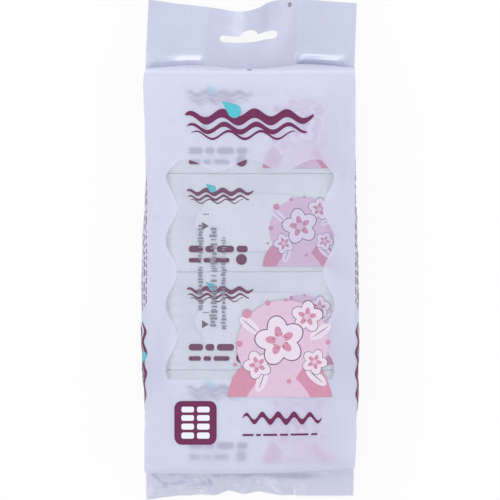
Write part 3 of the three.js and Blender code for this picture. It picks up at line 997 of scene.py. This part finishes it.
def wave_mark(art, cx, cy, width):
    """Three ripples with a drop over them."""
    unit = width / 86.4
    half = width / 2
    for y, thick, start, end in ((3.6, 6.4, -1, 1), (-3.8, 3.6, -0.97, 0.9), (-8.4, 1.8, -0.9, 0.72)):
        art.lay("magenta", ribbon(
            cx + start * half, cx + end * half, cy + y * unit, 2.6 * unit, 21.6 * unit, thick * unit, 0.6,
        ))
    art.lay("teal", drop(cx - 12.2 * unit, cy + 9.2 * unit, 15.5 * unit, 52))


def blossom(art, cx, cy, radius, turn, outer, inner):
    """A five-petalled flower: outlined petals, a darker throat and a ring of stamens."""
    petals = [turn + 72 * i for i in range(5)]
    layers = (("line", 1.09, 0.86, 0.50), (outer, 1.0, 0.78, 0.50), (inner, 0.5, 0.3, 0.34))
    for name, long, short, out in layers:
        for degrees in petals:
            a = math.radians(degrees)
            middle = (cx + out * radius * math.cos(a), cy + out * radius * math.sin(a))
            art.lay(name, ellipse(*middle, long * radius, short * radius, degrees))
    art.lay("blush", circle(cx, cy, 0.19 * radius, 18))
    for degrees in range(0, 360, 45):
        a = math.radians(degrees + turn)
        middle = (cx + 0.29 * radius * math.cos(a), cy + 0.29 * radius * math.sin(a))
        art.lay("line", circle(*middle, 0.03 * radius, 8))


def bubbles(art, name, places):
    for x, y, radius in places:
        art.lay(name, circle(x, y, radius, 22))


def mound(left, right, base, height, lean):
    """A hill with a flat foot, its top towards one side."""
    x = np.linspace(left, right, 26)
    share = (x - left) / (right - left)
    top = base + height * np.sin(math.pi * share**lean) ** 0.8
    return np.concatenate([np.stack([x, top], 1)[::-1], [(left, base), (right, base)]])[:-2]


def bars(art, name, left, y, height, lengths, gap):
    """A line of rounded bars."""
    x = left
    for length in lengths:
        art.lay(name, rounded_box(x + length / 2, y, length, height, height * 0.42, 4))
        x += length + gap


def posy(art, cx, cy, unit):
    """Blossoms over soft hills. unit is 1 at its size on the bag."""
    at = lambda x, y: (cx + x * unit, cy + y * unit)
    base = cy - 33.4 * unit
    art.lay("blush", ellipse(*at(2, 2), 62 * unit, 58 * unit, 20, 40))
    art.lay("rose", mound(cx - 35 * unit, cx - 4 * unit, base, 21 * unit, 0.8))
    art.lay("rose", mound(cx + 4 * unit, cx + 35 * unit, base, 23 * unit, 1.2))
    art.lay("blush", mound(cx - 22 * unit, cx + 20 * unit, base, 17 * unit, 1.0))
    for x, y, turn in ((-20, 14, 140), (27, 10, 35), (-12, -22, 250), (24, -20, 320)):
        art.lay("petal", ellipse(*at(x, y), 17 * unit, 7 * unit, turn))
        art.lay("line", ellipse(*at(x, y), 13 * unit, 0.5 * unit, turn))
    blossom(art, *at(18, 20), 10.5 * unit, 12, "petal", "rose")
    blossom(art, *at(-15, -12), 9.5 * unit, 40, "petal", "rose")
    blossom(art, *at(23, -10), 8.5 * unit, 66, "petal", "rose")
    blossom(art, *at(0, 4), 16.5 * unit, 30, "petal", "rose")
    spots = (
        (-27, 2, 2.2), (-22, 22, 3.0), (-8, 29, 1.8), (4, 31, 1.1), (32, 3, 1.7), (-30, -12, 1.2),
        (6, -23, 1.6),
    )
    bubbles(art, "rose", [(*at(x, y), r * unit) for x, y, r in spots])


def on_front(x, y, lift):
    """Points that far out of the front film, square to it along the bag."""
    s = station_of(y, "front")
    run = front_place(x, s + 0.2) - front_place(x, s - 0.2)
    out = np.stack([np.zeros_like(s), run[:, 2], -run[:, 1]], -1)
    return front_place(x, s) + lift * out / np.linalg.norm(out, axis=1)[:, None]


def bag_print():
    art = Print()
    wave_mark(art, -0.3, 85.0, 86.4)
    posy(art, 20.0, -64.5, 1.0)
    badge_x, badge_y = -36.3, -114.7
    art.lay("magenta", rounded_box(badge_x, badge_y, 28.2, 28.2, 4.8))
    for row in (-1, 0, 1, 2):
        for column in (-0.5, 0.5):
            box = (badge_x + 10.4 * column, badge_y + 5.6 * (row - 0.5))
            art.lay("white", rounded_box(*box, 8.4, 3.8, 1.2, 4))
    art.lay("magenta", ribbon(-5.1, 48.0, -112.0, 2.5, 10.6, 4.2))
    bars(art, "magenta", -5.1, -122.8, 1.3, (7.5, 3.2, 9.4, 5.6, 12.0, 4.4), 1.6)
    return art.make("bag_print", on_front)


def seam_mark():
    """The dash under the head seam, where the film turns too sharply for print that lies close."""
    art = Print()
    art.lay("grey", rounded_box(-0.3, 120.6, 2.9, 1.3, 0.5, 3))
    return art.make("seam_mark", lambda x, y, lift: on_front(x, y, lift + 0.12), 0.6)


def header_mark():
    art = Print()
    art.lay("grey", ellipse(24.9, 40.4, 2.7, 3.5, 0, 14))
    over = HEADER_HALF / 2 + 0.08
    place = lambda x, s, lift: seal_place(HEAD, HEADER_LEAN, x, s, over + header_relief(x, s) + lift)
    return art.make("header_mark", place, 0.9)


def batch_code():
    """Columns of ticks from the date printer, which runs down over the window."""
    art = Print()
    rng = np.random.default_rng(7)
    columns = ((-33.0, 3.6, 16.0, -40.0), (-24.2, 5.0, 14.0, -52.0), (-17.6, 3.4, 8.0, -54.0))
    for x, wide, top, bottom in columns:
        y = top
        while y > bottom:
            tall = rng.choice((0.7, 1.1, 1.6))
            lean = rng.uniform(-0.25, 0.25) * wide
            length = wide * rng.uniform(0.55, 1.0)
            art.lay("grey", rounded_box(x + lean / 2, y, length, tall, 0.3, 2))
            y -= tall + rng.choice((0.7, 0.9, 2.6), p=(0.5, 0.35, 0.15))
    return art.make("batch_code", on_front)


def pack_print(name, seed, centre):
    art = Print()
    wave_mark(art, -19.9, 18.6, 44.6)
    posy(art, 33.3, -5.2, 0.715)
    art.lay("line", np.array([(-32.0, -4.9), (-27.4, -2.2), (-32.0, 0.5)]))
    bars(art, "line", -31.2, 5.6, 1.0, (0.9, 0.9, 0.9), 0.5)
    bars(art, "magenta", -40.8, -17.5, 4.4, (9.5, 6.0, 11.5, 7.5), 1.6)
    bars(art, "magenta", -40.8, -25.0, 3.0, (8.0, 5.0, 10.5), 1.8)
    art.lay("magenta", circle(-5.7, -24.5, 3.6))

    def place(x, y, lift):
        # Over the steep end of the pillow the print takes its height from a little further in, so that it
        # stays on top
        steep = smooth(np.abs(x), 46, 52)
        top = pack_top(x - np.sign(x) * 0.4 * steep, y, seed) + 0.12 * steep
        return np.stack([x, y, top + GLUE + LABEL_THICKNESS + lift], -1)

    return art.make(name, place, 1.4, centre)


# How far it is round the side of the bag from one crease to the other
SIDE_SPAN = 46.0


def gusset_print(side, name):
    """The print on a side of the bag, which runs down it: small bars, then the ripples and drop again."""
    art = Print()
    rng = np.random.default_rng(17 + side)
    for column, wide in ((0.9, 0.55), (2.6, 0.7), (4.6, 0.6)):
        y = 60.0 - rng.uniform(0, 5)
        while y > -38:
            length = rng.uniform(1.2, 5.5)
            art.lay("magenta", rounded_box(y, column, length, wide, 0.25, 3))
            y -= length + rng.uniform(1.2, 2.6)
    for out, thick in ((3.2, 3.4), (7.0, 2.2), (10.0, 1.2)):
        art.lay("magenta", ribbon(-107, -48, out, 1.4, 14.0, thick))
    art.lay("teal", drop(-72, 4.6 if side < 0 else 9.0, 10.0, 50))

    def place(y, across, lift):
        point = gusset_place(side, across / SIDE_SPAN, station_of(y, "front"))
        point[:, 0] += side * (0.1 + lift)
        return point

    return art.make(name, place, 1.5)


def multipack():
    outer_bag()
    seal_strip(
        "header_seal", [SEALED, SEALED_THIN], HEAD, HEADER_LEAN, HEADER_HEIGHT, HEADER_HALF, header_relief,
        FILM_STEP, [hang_slot()],
    )
    seal_strip(
        "tail_seal", [TAIL_FILM_PAINTED_PALER, TAIL_FILM_PAINTED_PALER], TAIL, TAIL_LEAN, TAIL_LENGTH, TAIL_HALF, tail_relief, TAIL_STEP,
    )
    bag_print()
    header_mark()
    seam_mark()
    batch_code()
    gusset_print(-1, "side_print_left")
    gusset_print(1, "side_print_right")
    for layer in LAYERS:
        for row in ROWS:
            low, high = box_mm(f"pocket_pack_{layer}_{row}")
            centre = (low + high) / 2
            seed = row + 10 * LAYERS.index(layer)
            pocket_pack(f"wrap_{layer}_{row}", f"pocket_pack_{layer}_{row}", seed, centre)
            reseal_label(f"label_{layer}_{row}", f"reseal_label_{layer}_{row}", seed, centre)
            pack_print(f"pack_print_{layer}_{row}", seed, centre)


# The studio

# Metres across the view at the height that is focused on, and the lens and sensor in millimetres
VIEW_WIDTH = 0.3375
FOCUS_HEIGHT = 0.02
LENS = 200.0
SENSOR = 36.0

# How bright the room is where the camera doesn't see it, and how much of the floor glows where it does
ROOM_LIGHT = 0.69
FLOOR_GLOW = 0.86

# Soft lamps: name, place, width and height in metres, and power in watts. The low one at the back gives the
# bright strips along the foot of the header.
LAMPS = (
    ("upper_left", (-1.0, 0.45, 1.35), 1.4, 1.4, 8.4),
    ("lower_right", (1.0, -0.5, 1.35), 1.2, 1.2, 6.2),
    ("low_back", (0.1, 1.85, 0.38), 1.1, 0.3, 10.0),
    ("low_front", (-0.6, -1.6, 0.8), 0.6, 0.6, 3.2),
)


def white_to_eye(tree, shader, white):
    """The shader for bounces, and white for the camera, reflections and what shows through film."""
    path = add(tree, "ShaderNodeLightPath").outputs
    seen = path["Is Camera Ray"]
    for kind in ("Is Glossy Ray", "Is Transmission Ray"):
        seen = add(tree, "ShaderNodeMath", {0: seen, 1: path[kind]}, operation="MAXIMUM").outputs[0]
    return add(tree, "ShaderNodeMixShader", {0: seen, 1: shader, 2: white}).outputs[0]


def studio():
    bpy.ops.mesh.primitive_plane_add(size=6)
    floor = bpy.context.object
    floor.name = "floor"
    made, tree = material("white_sweep")
    paint = add(tree, "ShaderNodeBsdfDiffuse", {"Color": linear("#f4f4f4")})
    glow = add(tree, "ShaderNodeEmission", {"Color": (1, 1, 1, 1), "Strength": 1.0})
    soft = add(tree, "ShaderNodeMixShader", {0: FLOOR_GLOW, 1: paint.outputs[0], 2: glow.outputs[0]})
    finish_material(tree, white_to_eye(tree, paint.outputs[0], soft.outputs[0]))
    floor.data.materials.append(made)

    world = bpy.data.worlds.new("white_room")
    world.use_nodes = True
    tree = world.node_tree
    tree.nodes.clear()
    dim = add(tree, "ShaderNodeBackground", {"Color": (1, 1, 1, 1), "Strength": ROOM_LIGHT})
    white = add(tree, "ShaderNodeBackground", {"Color": (1, 1, 1, 1), "Strength": 1.0})
    add(tree, "ShaderNodeOutputWorld", {"Surface": white_to_eye(tree, dim.outputs[0], white.outputs[0])})
    bpy.context.scene.world = world
    for settings in LAMPS:
        lamp(*settings)


def lamp(name, place, wide, high, power):
    data = bpy.data.lights.new(name, "AREA")
    data.shape = "RECTANGLE"
    data.size, data.size_y = wide, high
    data.energy = power
    made = bpy.data.objects.new(name, data)
    made.location = place
    made.rotation_euler = (-Vector(place)).to_track_quat("-Z", "Y").to_euler()
    bpy.context.scene.collection.objects.link(made)


def camera():
    data = bpy.data.cameras.new("camera")
    data.lens = LENS
    data.sensor_width = SENSOR
    made = bpy.data.objects.new("camera", data)
    made.location = (0, 0, FOCUS_HEIGHT + VIEW_WIDTH * LENS / SENSOR)
    data.clip_end = 20
    bpy.context.scene.collection.objects.link(made)
    bpy.context.scene.camera = made


multipack()
studio()
camera()
bpy.context.scene.view_settings.view_transform = "Standard"
